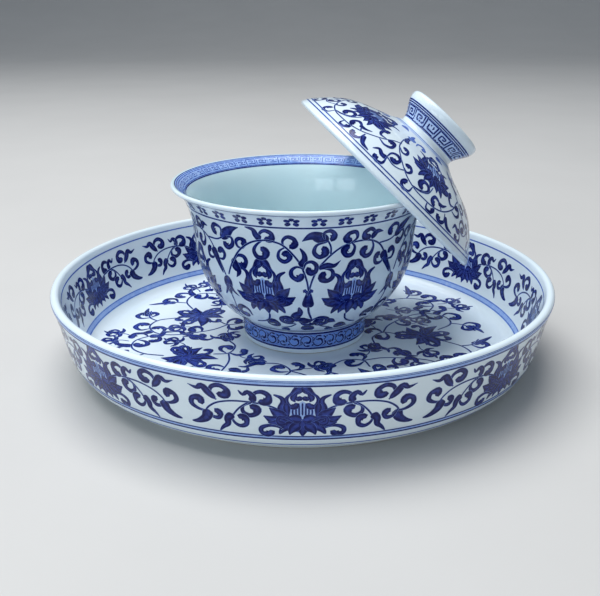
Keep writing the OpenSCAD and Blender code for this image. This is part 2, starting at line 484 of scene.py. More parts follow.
def read(text):
    """Strokes written one to a line: kind, width, and the points that the brush goes through."""
    out = []
    for row in text.strip().splitlines():
        kind, w, rest = row.split(None, 2)
        out.append((kind, float(w), points(rest)))
    return out


def lay(painting, where, strokes, move=(0, 0), scale=(1, 1), turn=0.0, depth=1.0, fat=1.0,
        fringe=0.06, heart=0.84, step=None):
    """Lays a group of strokes, scaled, turned and then moved, some of them fatter."""
    c, s = math.cos(turn), math.sin(turn)
    spin = np.array([[c, s], [-s, c]])
    size = (abs(scale[0]) + abs(scale[1])) / 2
    for kind, w, line in strokes:
        p = (line * scale) @ spin + move
        if kind == "wash":
            painting.patch(where, p, w * depth)
        else:
            painting.stroke(where, p, w * size * fat, kind, depth, heart, step, fringe)


def round_and_round(x, y, angle):
    """A place in a drawing, turned about the drawing's middle."""
    c, s = math.cos(angle), math.sin(angle)
    return x * c - y * s, x * s + y * c


# A lotus seen from its side: its right half, from its foot at 0,0 to its crown at 0,18.4.
# In these tables each row is a stroke: kind, width, and the points it goes through, in mm.
LOTUS_HALF = """
leaf 2.6 0,18.4 1.3,16.9 2.5,15.8 3.9,15
curl 1.9 2.6,15.9 4,14.6 4.5,12.9 3.9,11.3 2.6,10.8 1.8,11.7
curl 1.7 0.4,16.8 1.6,15.9 2.1,14.6 1.5,13.7 0.7,14.2
leaf 1.8 2,15.2 2.6,13.7 2,12.6
flame 3.2 4.4,5.8 5.8,7.8 5.9,10.4 5.3,12.4 5.9,14 8,15.1
leaf 1.9 4.6,12.2 4.4,9.6 4,6.8
leaf 3.5 4.8,6.4 6.6,7.9 8,9 9.4,10.3
leaf 4.1 4,4.8 6.6,5.4 8.8,6 11.2,7.3
leaf 2.6 5.6,5.2 8,4.8 10,5
flame 4 2.2,5 4.4,3.6 5.8,2.4 6.8,0.7
leaf 3.2 0.9,4.8 2.6,3 3.4,1.8 3.8,0.5
leaf 3 0.2,6.1 2.4,6.6 5,6.4
curl 1.6 2.6,5.4 4.8,7 6.8,6.8 6.9,5.2 5.5,4.8
line 0.36 0.9,11.6 0.95,9.6 0.9,7.6
line 0.36 1.8,10.2 1.85,8.8 1.7,7.4
line 0.36 2.7,10 2.8,8.8 2.6,7.4
"""
# The middle of the lotus, with the pale washes under it; a wash has a tone for a width.
LOTUS_MIDDLE = """
leaf 3.6 0,5.9 0.1,3 0,-0.3
line 0.36 0,12.2 0,10.2 0,7.8
wash 0.24 0,13.2 1,12.4 2.2,11 4,10.2 3.9,8 2,6.2 0,5.8 -2,6.2 -3.9,8 -4,10.2 -2.2,11 -1,12.4
wash 0.72 0,6.6 3.8,7.2 7.2,6.4 6.6,4 3.4,2 0,1.2 -3.4,2 -6.6,4 -7.2,6.4 -3.8,7.2
"""
# The curl that stands at each side of a lotus's foot on the tray.
LOTUS_FOOT = """
curl 1.9 5.6,2.5 7.6,3.6 10,3.8 12,2.8 12,1.1 10.4,0.5 9.2,1.5
"""
# Half of the scroll between two lotuses of the tray, from the lotus's middle outwards.
TRAY_SCROLL = """
line 0.42 6.2,9.2 8.8,10.6 12,11.4 16,11.8 20.5,11.6 24.6,10.5 27.3,8.7 28.6,7
curl 2.2 13.8,11.7 14.2,13.6 13,15.3 11,15.7 9.4,14.4 9.8,12.5 11.4,12.3
flame 2.1 14.3,11.8 13.9,13.9 15.3,15.4 16.7,14.3 17.9,15.8
curl 2.1 14.6,11.4 16.9,10.3 17.1,8.2 15.4,7 13.4,7.7 13,9.3 14.2,9.9
line 0.4 15.4,11.6 17.8,9.7 19.8,7.2 20.6,5.2
curl 2 20.9,6.4 20,4 18.2,2.9 16.4,3.8 16.5,5.7 18,6.1
flame 2.5 20.2,7 21.9,5.2 22.1,3.2 23.6,1.8 24.9,0.1
curl 2.2 24.8,11.4 26.4,13.5 25.7,16 23.3,16.9 21.3,15.5 21.8,13.7 23.3,13.8
leaf 2.1 25,11.6 27,13.8 28.6,15.9 30.4,14.9 33,15.8
curl 2.2 27.6,6.9 30.6,7.2 32.8,8.7 32.4,10.8 30.4,11.2 30,9.9
curl 1.9 28.2,7.6 26.8,5.4 24.8,5 24,6.4 25.2,7.2
flame 3.5 27.6,7.4 28.7,4.6 30.4,3.2 32,2.5 33.7,2.2
"""
# The bowl's scroll over a quarter of its round, x from the bud in the middle and y up its side.
BOWL_SCROLL = """
flame 5.2 -0.2,19.9 -0.2,22.6 -0.1,25.2 -0.1,27.8
curl 1.5 -0.2,25.4 -0.8,27 -2,27.7
curl 1.5 -0.2,25.4 0.4,27 1.5,27.7
line 0.5 -0.1,20.6 0.2,17.4 1.4,13.6
line 0.52 -0.1,27.6 -0.7,31.2 -2,35.2 -3.8,38.8 -7.7,43.3 -11.2,44.9 -14.7,45.1 -19.2,43.7 \
-23.7,40.2 -27.2,35.2 -29.4,30.4
flame 2.7 -3,36.4 -1.5,38.6 -1.6,40.7 -2.9,42.9
curl 2.1 -1.8,35.3 -1,37.4 0.9,38 2.4,36.6 2.1,34.6 0.5,34.3 0.1,35.4
curl 2.2 -2.2,35.7 -4,36.2 -5.7,34.9 -5.6,32.9 -3.8,31.8 -2.6,33.2
curl 2.1 -8,42.9 -8.3,45.3 -6.8,46.9 -4.8,46.2 -4.4,44.4 -5.6,43.6
curl 2.1 -7.5,43.1 -9.5,41.6 -9.8,39.2 -8,37.9 -6.3,39 -6.6,40.7 -7.8,40.4
curl 2.3 -15.7,45.2 -15.5,47.5 -13.7,48.8 -11.7,47.8 -11.8,46 -13.2,45.9
flame 2.7 -15.3,45.3 -16.8,46.8 -17.6,48.8 -20.2,49.5
curl 2.4 -15,44.9 -17,43.2 -18.1,41 -17,38.9 -14.8,38.9 -14,40.6 -15,41.6
curl 1.8 -21.2,42.2 -22.4,41.2 -24.2,41.6 -24.6,43.4 -23.1,44.6 -21.4,44 -22.2,42.8
curl 2.3 -26.4,35.8 -24.8,38.1 -22.4,38.3 -21.4,36.6 -22.4,34.9 -24.2,35
leaf 3.1 -26.6,37 -25.9,34.3 -24.6,32.4 -25.8,30.1
leaf 3.9 -30.2,29.8 -30.6,26 -30.8,21.4
flame 1.6 -30.6,26.2 -32.2,23.6 -34,21.3
flame 1.6 -30,26.2 -28.7,23.6 -26.8,22
line 0.5 -30.7,22 -31,18 -32.2,14.5
leaf 3.6 -31.2,43.2 -28.4,45.6 -25.8,47.7 -22.7,48.8
curl 2.2 -30.8,44.7 -30.4,47.2 -32.8,48.1 -34.3,46.5 -33.4,45.1
curl 2.3 -28.6,44.5 -26.3,44.3 -26.2,42 -28,40.6 -29.3,41.7
line 0.46 -38.4,42.2 -33.4,42.5 -30.4,43.8
line 0.52 0.1,27.8 1.3,32 3.2,35.8 6.9,40 10.8,42.9 14.8,44.1 19.8,44.1 24.3,42.1 27.3,38.5 \
30.3,33.5 32,29.7
curl 2.3 3.4,35.2 5.2,35.5 7.6,34.6 7.8,32.3 6,31 4.3,31.9 5,33.3
leaf 1.9 3,35.5 5.8,36.5 8.3,36.3 10.4,38
line 0.46 7,40.2 6.9,43 5.8,45.6
leaf 3.9 6,45 3.4,46.6 0.8,47.3 -2.2,45.4
curl 2.1 4.9,45.8 4.4,48.1 6.4,49.1 7.8,47.6 7,46.1
curl 2.2 5.4,44.9 2.4,43.9 1.6,41.3 3.4,39.6 5.2,40.9 4.5,42.4
curl 2.3 13.6,43.9 15.5,45.6 14.8,47.8 12.6,47.5 11.8,45.7 13,45.2
curl 2.5 13.9,43.9 15,42.2 14.2,39.8 12.2,39.6 11.4,41.2 12.5,42.3
curl 2.4 21.3,44.2 21.7,46.8 20.1,48.2 18.1,47.2 18.4,45.6 19.6,45.6
leaf 2.1 20.9,44.4 22.7,46.7 25.4,46.4
curl 2.4 21.4,43.6 22.1,41.5 21.2,39 19.2,38.4 18.1,39.9 19.1,41
flame 3.6 26.2,38.8 27.8,36.4 29.4,33.4 30.8,30.4
curl 2 27.3,36.6 26,35 23.8,35.1 23.4,37 24.8,38
curl 2 28.9,35.5 31.4,35.6 32.4,37.6 31.2,39.1 30,38
flame 3.5 -4.8,11.8 -4.9,15.2 -3.2,17.5 -3.5,20.2
curl 2.2 -5.4,10.8 -8.2,10.3 -10.7,11.3 -10.9,13.4 -8.7,14.3 -7.4,12.9 -8.8,12
leaf 2.6 -4.2,13 -0.8,12.4 2.6,13.2
curl 1.5 -3.4,12.4 -2.3,10 0.2,9.6 2.2,10.7
curl 2.5 2,13.4 4.9,14.6 7.6,13.6 8.2,11.2 6.3,9.9 4.3,11 5.4,12.2
leaf 2 7.9,11.8 10,11.7 12.3,10.5
line 0.42 -5,10.2 -8.2,7.8 -12.8,6.5
line 0.42 3.8,10.5 6.8,8 10.8,6.8
blob 2.6 -3.2,6.2 0.1,6.9 3.3,6.2
line 0.46 -15.4,15.8 -16.6,12.5 -19.2,10.5 -24.2,9
curl 2.3 -18.2,10.8 -17.8,8.4 -15.2,7.8 -13.4,9.2 -14.4,10.9 -16.4,10.4
line 0.46 15,15.5 16.3,12.2 19.3,9.8 23.8,8
leaf 3 12.6,7.7 16,7.2 20.2,6
curl 2.2 30,9.8 27.8,10.9 25.4,11.4 25.2,13.2 27.4,14 29,12.9
curl 2.2 -24.7,12.5 -25.2,16 -27.8,17 -30.3,15 -29.8,12.5 -28,12.7
flame 2.2 -8.6,5.4 -11.6,5.2 -13.4,4.3
flame 2.2 8.6,5.6 11.4,5.2 13.6,4.3
blob 2.2 26.2,6 29,6.5 31.8,6
"""
# A sixth of the lid's scroll, seen from above with the lid's middle at 0,0.
LID_SCROLL = """
line 0.45 -13.9,-23.4 -15.3,-29 -14,-34 -10,-39.8 -5,-42.7 0,-43.3 6,-42.5 11,-39.5 14.6,-34 \
15.6,-29 16.5,-26.3
curl 1.9 -15,-29.9 -13.8,-31.9 -12,-31.8 -11.7,-29.9 -13.3,-29.3
curl 1.9 -11.8,-37.7 -9.8,-39.2 -8.2,-38 -8.9,-36.4 -10.7,-36.6
curl 2.3 -6,-42.4 -2,-41.9 0.9,-40 0.3,-37.8 -2,-37.5 -3.3,-39.3 -2,-40.2
line 0.42 2.4,-36.4 1.4,-40 -1.5,-41.9
curl 2.1 -5.4,-42.9 -6.2,-45.2 -8.8,-45.4 -10,-43.7 -8.5,-42.6
curl 2.1 2.6,-43.2 3.2,-45.3 5.6,-45.2 6.2,-43.3
curl 2.1 10,-40.5 7.5,-38.9 4.8,-38.6 4,-40.6 5.6,-41.5
flame 1.9 7,-39.4 9.5,-38.4 11.2,-36.4
curl 2.4 12,-39.4 13.2,-42.2 11.3,-44 9.5,-43
flame 2.6 12.6,-40.2 16,-41.9 19.6,-41
curl 2.1 14.6,-35 17.6,-34.2 19,-31.8 17.4,-30 16.2,-31.6
curl 2.1 14.9,-32.3 12.6,-33.7 10.9,-32 11.4,-29.8
line 0.42 -10.8,-39 -13.2,-39.7 -16,-39.3 -18.6,-37.2
curl 2.2 -18.7,-37.4 -17.4,-34.9 -15,-34.6 -13.6,-36.3 -15,-37.9 -16.6,-37
flame 2.6 -18.2,-38 -20.6,-37.2 -22,-35.2 -24.4,-35.8
curl 2.3 -18.6,-37.6 -19.4,-40.6 -21.8,-40.6 -22.6,-38.6
flame 3 -12.4,-25.2 -12.6,-22.6 -10.4,-18.2
"""
# The small pale leaves round the lid's neck, a sixth of them.
NECK_LEAVES = """
curl 1.6 -8.4,-21.6 -7.4,-19.2 -5.2,-18.6 -4.4,-20 -5.4,-21
flame 2.4 -9,-20 -10,-17.6 -8.8,-15.4
curl 1.6 -9.4,-20.4 -11,-19.6 -11.4,-17.8
leaf 2 1.5,-17.2 3.4,-16.4 5.6,-16.6
"""
# A seventh of the tray floor's scroll, seen from above with the flower's middle at 0,44.
FLOOR_SCROLL = """
line 0.42 -5.5,50 -11,55.5 -17.5,55 -21.5,49.5 -20.5,43 -15.5,37 -9.5,32 -3,29.6
line 0.42 4.5,50.5 9.5,56.5 16,58.8 21.5,56 23.5,49.5
line 0.42 -1.5,34.8 -3,29.6 1.5,25.5 7.5,25.8
line 0.42 -12,55.3 -10,60.5 -4.5,63.8
line 0.42 9,56.2 7.5,60.5 3,63.4
curl 2.3 -15.6,37 -18.4,36.4 -19.8,33.8 -18,31.8 -16,33.2
curl 2.3 -13.2,34.8 -10.6,36.4 -10,39 -12.4,39.9 -13.6,38
flame 2.5 -15.4,36.8 -17.6,39.4 -16.4,42 -18,44.4
curl 2.3 -19,53.6 -21.8,56 -20.4,59.4 -17.4,59.6 -16.8,57.2
curl 2.2 -21.3,47.4 -17.6,48.2 -16.2,50.8 -18.2,52.2
flame 2.6 -20.6,51.4 -23.6,53 -25.4,56.6
curl 2.3 -10.3,59.8 -12.4,62.8 -10.8,65.6 -8,65 -8.4,62.6
flame 2.5 -9.4,61.2 -6,64.8 -2.6,66.4
curl 2.1 -9.8,60 -6.6,59.4 -5.4,61.4 -7,62.4
curl 2.3 8,59.8 10.6,62.6 9.4,65.4 6.8,65.2 6.6,62.8
flame 2.5 7.6,60.4 4.4,64.6 0.6,68.6
curl 2.3 16.4,58.7 18.4,62 16.6,64.8 13.8,64 14.2,61.8
flame 2.5 17.4,58.7 20.6,62.2 24.4,64
curl 2.3 22,55.2 19,53 16.2,53.2 16,55.6 18,56.2
curl 2.3 23.4,51 26.4,51.8 27.4,54.8 25,56.2
flame 2.7 23.2,50.6 22,47 24.2,44.4 23.2,41.6
curl 2.3 23,48.4 20,47.6 17.8,48.8 18.8,50.6
curl 2.2 -2.8,29.4 -5.8,27.6 -5.8,24.8 -3.2,24.4
curl 2.2 -2.6,30.4 0.6,31.2 3,30 2.4,27.8 0.6,28
flame 2.5 6.4,25.8 9.8,26.8 12.2,29.8 14.8,30.2
curl 2.2 7,25.8 9.2,23.8 11.6,24.6 10.8,26.4
curl 2.2 12,29.2 11,32.4 13.2,34.2 15,32.6
flame 2.5 14.2,33.6 17,36.4 17.6,39.8
"""
# A leaf of five lobes, which fills the floor between the flowers.
SPRIG = """
curl 2.3 0,0 2.4,1.4 3.3,3.8 1.4,5 0.3,3.9
curl 2.3 0,0 -2.4,1.2 -3.7,3.4 -2.2,4.9 -1,4
flame 3.2 0,-0.8 0.5,2.6 -0.2,5.2 0.9,8
flame 2.6 0.2,0 2.9,-0.8 5.6,0.6
flame 2.6 -0.2,0 -2.9,-1 -5.4,0
line 0.42 0,0 -0.4,-3.2 -2.2,-6.2
"""


# A tendril of the band round the bowl's foot; every other one is upside down.
TENDRIL = """
curl 0.7 -2.3,-1.7 -1.9,0.9 -0.3,2 1.3,1 0.9,-0.6 -0.4,-0.6
curl 0.6 0.2,-0.1 -1.1,-0.9 -0.5,-2 0.9,-1.9
curl 0.6 1.4,1.9 2.6,1.2 2.4,0.1
curl 0.55 1.6,-0.3 2.7,-1 1.7,-1.9
"""


def lotus():
    """Both halves of the flower, between its washes and the petal in the middle."""
    half, middle = read(LOTUS_HALF), read(LOTUS_MIDDLE)
    washes = [stroke for stroke in middle if stroke[0] == "wash"]
    return washes + half + mirrored(half) + [s for s in middle if s[0] != "wash"]


def bloom():
    """A flower seen from above: petals and curls by turns, no two the same length."""
    heart = points("4,0 2,3.6 -2,3.6 -4,0 -2,-3.6 2,-3.6")
    out = [("wash", 0.5, heart), ("blob", 3.6, points("-1.3,0 1.3,0"))]
    petals = ((9.8, 1), (8.2, -1), (10.6, 1), (8.8, 1), (9.8, -1), (8.4, 1))
    for k, (long, hook) in enumerate(petals):
        a = k * math.pi / 3 + 0.22 * math.sin(3 * k)
        ray, across = vec(math.cos(a), math.sin(a)), vec(-math.sin(a), math.cos(a))
        out.append(("leaf", 4.2, np.array([ray, 0.5 * long * ray + across, long * ray])))
        out.append(("leaf", 2.4, np.array([2 * ray + 0.5 * across, 4.6 * ray + 2.6 * across,
                                           7.4 * ray + 3.4 * across])))
        a += math.pi / 6
        ray, across = vec(math.cos(a), math.sin(a)), hook * vec(-math.sin(a), math.cos(a))
        out.append(("curl", 1.9, np.array([2 * ray, 5.5 * ray, 8 * ray + 0.6 * across,
                                           8.8 * ray + 2.2 * across, 7.2 * ray + 2.8 * across])))
    return out


def meander(painting, where, reference, count, low, high, w, depth=1.0):
    """A key pattern all the way round: squared hooks, each facing the next."""
    x0, pitch = -reference * math.pi, 2 * (reference * math.pi) / count
    a, h = pitch / 6, (high - low) / 4
    hook = [(5.0, 0), (0, 0), (0, 4), (5.0, 4), (5.0, 1.1), (1.5, 1.1), (1.5, 2.9), (3.7, 2.9),
            (3.7, 2.05), (2.6, 2.05)]
    for k in range(count):
        line = [(x0 + k * pitch + x * a, low + y * h) for x, y in hook]
        for p, q in [*zip(line, line[1:]), ((line[0][0], low), (x0 + (k + 1) * pitch, low))]:
            painting.stroke(where, np.array([p, q]), w, "bar", depth, step=0.8)


# ---- materials ----------------------------------------------------------------------------


def finish():
    return bpy.context.scene.gaiwan_finish


def node(tree, kind, at, **values):
    n = tree.nodes.new(kind)
    n.location = at
    for name, value in values.items():
        setattr(n, name, value)
    return n


def ramp(tree, at, value, stops):
    """A colour that follows a value, through stops of place and colour."""
    n = node(tree, "ShaderNodeValToRGB", at)
    while len(n.color_ramp.elements) < len(stops):
        n.color_ramp.elements.new(0.5)
    for element, (place, shade) in zip(n.color_ramp.elements, stops):
        element.position, element.color = place, (*shade, 1)
    tree.links.new(value, n.inputs["Fac"])
    return n.outputs["Color"]


def noise(tree, at, scale, detail):
    """Clouds in the piece's own place, so many to the metre."""
    place = tree.nodes.get("Place") or node(tree, "ShaderNodeTexCoord", (-1500, 0), name="Place")
    n = node(tree, "ShaderNodeTexNoise", at)
    n.inputs["Scale"].default_value = scale
    n.inputs["Detail"].default_value = detail
    n.inputs["Roughness"].default_value = 0.55
    tree.links.new(place.outputs["Object"], n.inputs["Vector"])
    return n.outputs["Fac"]


def stretch(tree, at, value, low, high, low_in=0.0, high_in=1.0):
    """A value stretched to run from low to high."""
    n = node(tree, "ShaderNodeMapRange", at)
    n.inputs["From Min"].default_value, n.inputs["From Max"].default_value = low_in, high_in
    n.inputs["To Min"].default_value, n.inputs["To Max"].default_value = low, high
    tree.links.new(value, n.inputs["Value"])
    return n.outputs["Result"]


def product(tree, at, a, b):
    n = node(tree, "ShaderNodeMath", at, operation="MULTIPLY")
    tree.links.new(a, n.inputs[0])
    tree.links.new(b, n.inputs[1])
    return n.outputs[0]


def over(tree, at, a, b, share):
    """Colour b laid over colour a, as a tint."""
    n = node(tree, "ShaderNodeMix", at, data_type="RGBA", blend_type="MULTIPLY")
    n.inputs["Factor"].default_value = share
    tree.links.new(a, n.inputs["A"])
    tree.links.new(b, n.inputs["B"])
    return n.outputs["Result"]


def bump(tree, at, height, strength, distance):
    n = node(tree, "ShaderNodeBump", at)
    n.inputs["Strength"].default_value = strength
    n.inputs["Distance"].default_value = distance
    tree.links.new(height, n.inputs["Height"])
    tree.links.new(n.outputs["Normal"], tree.nodes["Principled BSDF"].inputs["Normal"])


def new_material(name):
    m = bpy.data.materials.new(name)
    m.use_nodes = True
    return m, m.node_tree, m.node_tree.nodes["Principled BSDF"]


def shaded(light, share):
    return tuple(v * share for v in light)


def glazed(name, pooled_and_shaded=False):
    """White porcelain under glaze; where a mesh carries the tone of a brush, cobalt shows."""
    found = bpy.data.materials.get(name)
    if found:
        return found
    f = finish()
    m, t, shader = new_material(name)
    # The glaze: clouds of faint blue, and fine dark specks.
    clouds = noise(t, (-1250, 300), 34, 3)
    # The pooled glaze is darker and more cyan: partly glaze lying thick, partly painted shade
    # inside the bowl.
    light = tuple(f.celadon_and_shade if pooled_and_shaded else f.glaze)
    cool = tuple(a * b for a, b in zip(light, (0.94, 0.97, 0.985)))
    base = ramp(t, (-1000, 300), clouds, [(0.3, cool), (0.62, light)])
    specks = noise(t, (-1250, 50), 900, 2)
    speck = ramp(t, (-1000, 50), specks, [(0.0, (0.55, 0.5, 0.45)), (0.235, (1, 1, 1))])
    body = over(t, (-700, 200), base, speck, 0.5)
    # The brush: its tone, pooled unevenly over a drop's width and drifting over a flower's.
    brush = node(t, "ShaderNodeAttribute", (-1500, -300), attribute_name="tone").outputs["Fac"]
    pool = stretch(t, (-1000, -250), noise(t, (-1250, -250), 620, 4), 0.84, 1.1, 0.3, 0.7)
    drift = stretch(t, (-1000, -450), noise(t, (-1250, -450), 120, 2), 0.9, 1.06, 0.3, 0.7)
    tone = product(t, (-650, -300), product(t, (-800, -300), brush, pool), drift)
    thinnest = (0.25, 0.42, 0.90)
    cobalt = ramp(t, (-450, -300), tone, [(0.0, (1, 1, 1)), (0.3, thinnest),
                                          (0.62, tuple(f.wash)), (0.9, tuple(f.line))])
    t.links.new(over(t, (-200, 100), body, cobalt, 1), shader.inputs["Base Color"])
    # The glaze's faint ripple, and a gloss that goes with its clouds.
    bump(t, (-300, -600), noise(t, (-700, -700), 150, 2), 0.06, 0.0004)
    rough = stretch(t, (-300, -850), clouds, f.roughness * 0.7, f.roughness * 1.6)
    t.links.new(rough, shader.inputs["Roughness"])
    shader.inputs["IOR"].default_value = 1.37
    return m


def bare():
    """The unglazed body where a foot ring stands."""
    name = "bare biscuit"
    found = bpy.data.materials.get(name)
    if found:
        return found
    m, t, shader = new_material(name)
    grain = noise(t, (-700, 0), 1600, 4)
    biscuit = tuple(finish().biscuit)
    shade = ramp(t, (-450, 0), grain, [(0.3, shaded(biscuit, 0.72)), (0.6, biscuit)])
    t.links.new(shade, shader.inputs["Base Color"])
    bump(t, (-250, -300), grain, 0.5, 0.0001)
    shader.inputs["Roughness"].default_value = 0.85
    return m


def bare_foot(piece, below):
    """Leaves the faces that stand on something unglazed."""
    piece.data.materials.append(bare())
    for face in piece.data.polygons:
        if face.center.z < below * MM and face.normal.z < -0.2:
            face.material_index = 1


# ---- operators ----------------------------------------------------------------------------


class GAIWAN_OT_tray(bpy.types.Operator):
    """Turn the tray"""
    bl_idname = "gaiwan.tray"
    bl_label = "Tray"

    def execute(self, context):
        outside, lip, inside, foot, under = tray_lines()
        ring = np.vstack([[[0, under], [foot - 5.5, under], [foot - 5, 0.3], [foot - 4.7, 0]],
                          arc(vec(foot - 0.5, 0.5), 0.5, -90, 0), [[foot, under]]])
        body = turn("tray_body", np.vstack([ring, outside, lip, inside[::-1]]),
                    Matrix.Identity(4))
        body.data.materials.append(glazed("white glaze"))
        bare_foot(body, 0.4)
        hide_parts("tray")
        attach(body, "tray")
        return {"FINISHED"}


class GAIWAN_OT_bowl(bpy.types.Operator):
    """Turn the bowl"""
    bl_idname = "gaiwan.bowl"
    bl_label = "Bowl"

    def execute(self, context):
        outside, lip, inside = bowl_lines()
        foot = np.vstack([[[0, 5], [20.1, 5]], arc(vec(21.1, 0.5), 0.5, 180, 270),
                          arc(vec(BOWL_FOOT_R - 0.5, 0.5), 0.5, -90, 0)])
        body = turn("bowl_body", np.vstack([foot, outside, lip, inside[::-1]]), bowl_place())
        body.data.materials.append(glazed("white glaze"))
        bare_foot(body, TRAY_FLOOR + 0.4)
        # The inside of the bowl and its upward faces take the pooled glaze, whose darker colour is
        # partly painted shade of the hollow.
        body.data.materials.append(glazed("pooled glaze", pooled_and_shaded=True))
        middle = bowl_place().translation
        for face in body.data.polygons:
            spoke, way = face.center - middle, face.normal
            faces_in = way.x * spoke.x + way.y * spoke.y < 0 or way.z > 0.9
            if spoke.z > 7 * MM and faces_in:
                face.material_index = 2
        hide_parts("bowl")
        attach(body, "bowl")
        return {"FINISHED"}


class GAIWAN_OT_lid(bpy.types.Operator):
    """Turn the lid"""
    bl_idname = "gaiwan.lid"
    bl_label = "Lid"

    def execute(self, context):
        outside, knob, well, inside, top = lid_lines()
        rim = edge(inside[0], outside[0])
        crown = edge(knob[-1], well[0])
        line = np.vstack([inside[::-1], rim, outside, knob[1:], crown, well,
                          [[0, top - WELL_DEEP]]])
        body = turn("lid_body", line, lid_place())
        body.data.materials.append(glazed("white glaze"))
        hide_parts("lid")
        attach(body, "lid")
        return {"FINISHED"}


class GAIWAN_OT_tray_painting(bpy.types.Operator):
    """Paint the tray's wall, outside and in, and its floor"""
    bl_idname = "gaiwan.tray_painting"
    bl_label = "Tray painting"

    def execute(self, context):
        outside, lip, inside, _, _ = tray_lines()
        lift = finish().painting_lift
        front = -math.pi / 2
        flower, scroll = lotus(), read(TRAY_SCROLL) + read(LOTUS_FOOT)

        def wall(painting, surface, first, reference, flip, y, flower_size, scroll_size, fat):
            """Eight lotuses round a wall, each between two halves of the scroll."""
            for k in range(8):
                where = round_wall(surface, first + k * math.pi / 4, reference, flip)
                lay(painting, where, flower, (0, y), flower_size, fringe=0.45, heart=0.8)
                for side in (1, -1):
                    lay(painting, where, scroll, (0, y), (side * scroll_size[0], scroll_size[1]),
                        fat=fat)

        p = Painting(lift)
        face = Turned(np.vstack([outside, lip[:5]]), Matrix.Identity(4))
        wall(p, face, front, 87, 1, 14.5, (0.965, 0.99), (0.965, 1), 1.1)
        # The faint line 9.9 mm up the outside is painted shadow of a small step above the foot; the
        # body has no such step.
        p.hoops(round_wall(face, front, 87), 87, (33.4, 1.2, 0.26), (13.6, 1.2, 0.28),
                (34.0, 0.46, 1), (32.7, 0.5, 1), (13.0, 0.55, 1), (14.2, 0.4, 0.95),
                (9.9, 0.5, 0.62))
        p.mesh("tray_painting_outside", "tray", "cobalt")

        q = Painting(lift)
        room = Turned(inside, Matrix.Identity(4), -1)
        top = room.end
        wall(q, room, math.radians(33.0), 84, -1, top - 20.4, (0.93, 0.94), (0.93, 0.95), 1.12)
        q.hoops(round_wall(room, front, 84, -1), 84, (top - 23.3, 1.6, 0.28),
                (top - 1.9, 0.4, 0.62), (top - 24.2, 0.5, 0.5), (top - 22.4, 0.46, 0.48))
        q.mesh("tray_painting_wall", "tray", "cobalt")

        f = Painting(lift)
        where = from_above(room, lambda r: r)
        scroll, petals, sprig = read(FLOOR_SCROLL), bloom(), read(SPRIG)
        sprigs = ((-13.5, 46, 0.7), (14.5, 45, -0.9), (-29, 64, 0.3), (-11, 26, 2.4),
                  (26, 66, -0.2))
        for k in range(7):
            a = math.radians(359.4 - 90) + k * 2 * math.pi / 7
            lay(f, where, scroll, scale=(1.05, 1.05), turn=a, fat=1.3, depth=0.92)
            lay(f, where, petals, round_and_round(0, 46, a), (1.1, 1.1), turn=a + 0.5 + 0.4 * k,
                depth=0.92, fringe=0.35, heart=0.8)
            for x, y, lean in sprigs:
                lay(f, where, sprig, round_and_round(x, y, a), (0.85, 0.85), turn=a + lean,
                    depth=0.92)
        f.mesh("tray_painting_floor", "tray", "cobalt")
        return {"FINISHED"}


class GAIWAN_OT_bowl_painting(bpy.types.Operator):
    """Paint the bowl, outside, on its foot and under its lip"""
    bl_idname = "gaiwan.bowl_painting"
    bl_label = "Bowl painting"

    def execute(self, context):
        outside, _, inside = bowl_lines()
        lift = finish().painting_lift
        middle = math.radians(-88.0)

        p = Painting(lift)
        face, reference = Turned(outside, bowl_place()), 40
        flower, scroll = lotus(), read(BOWL_SCROLL)
        quarter = reference * math.pi / 2
        low = [stroke for stroke in scroll if stroke[2][:, 1].max() < 21]
        high = [stroke for stroke in scroll if stroke[2][:, 1].max() >= 21]
        for k in range(4):
            where = round_wall(face, middle + k * math.pi / 2, reference)
            for x, y in ((-quarter / 4, 0.4), (quarter / 4, -0.2)):
                lay(p, where, flower, (x, 15.6 + y), (1.0, 1.21), fringe=0.45, heart=0.8)
            lay(p, where, high)
            lay(p, where, low, fat=1.55)
        where = round_wall(face, middle, reference)
        p.hoops(where, reference, (50.3, 0.5, 1), (56.5, 0.5, 0.9), (1.4, 0.5, 0.95),
                (3.3, 0.42, 0.95))
        florets, half = 32, reference * math.pi
        for k in range(florets):        # small flowers of five dabs under the lip
            x = (k + 0.5) * 2 * half / florets - half - 1.2
            for angle in (90, 152, 218, 322, 28):
                c, d = math.cos(math.radians(angle)) * 1.12, math.sin(math.radians(angle))
                dab = np.array([[x + c * 0.5, 52.8 + d * 0.55], [x + c * 2.3, 52.8 + d * 2.3]])
                p.stroke(where, dab, 1.35, "blob", step=0.2)
        p.mesh("bowl_painting_outside", "bowl", "cobalt")

        q = Painting(lift)
        foot = Turned(np.array([(BOWL_FOOT_R, 0.5), BOWL_FOOT_TOP]), bowl_place())
        where = round_wall(foot, middle, BOWL_FOOT_R)
        q.hoops(where, BOWL_FOOT_R, (4.7, 5.6, 0.4), (1.75, 0.6, 1), (7.6, 0.7, 1))
        tendrils, half, tendril = 34, BOWL_FOOT_R * math.pi, read(TENDRIL)
        for k in range(tendrils):
            lay(q, where, tendril, (k * (2 * half / tendrils) - half, 4.7), (1, 1 if k % 2 else -1),
                step=0.35)
        q.mesh("bowl_painting_foot", "bowl", "cobalt")

        b = Painting(lift)
        room, reference = Turned(inside, bowl_place(), -1), 45
        where = round_wall(room, middle, reference, -1)
        top = room.end
        b.hoops(where, reference, (top - 3.0, 4.8, 0.26), (top - 0.45, 0.3, 0.9),
                (top - 1.1, 0.24, 0.8), (top - 5.4, 0.4, 0.95))
        meander(b, where, reference, 60, top - 4.9, top - 1.8, 0.34, 0.62)
        b.mesh("bowl_painting_band", "bowl", "cobalt")
        return {"FINISHED"}


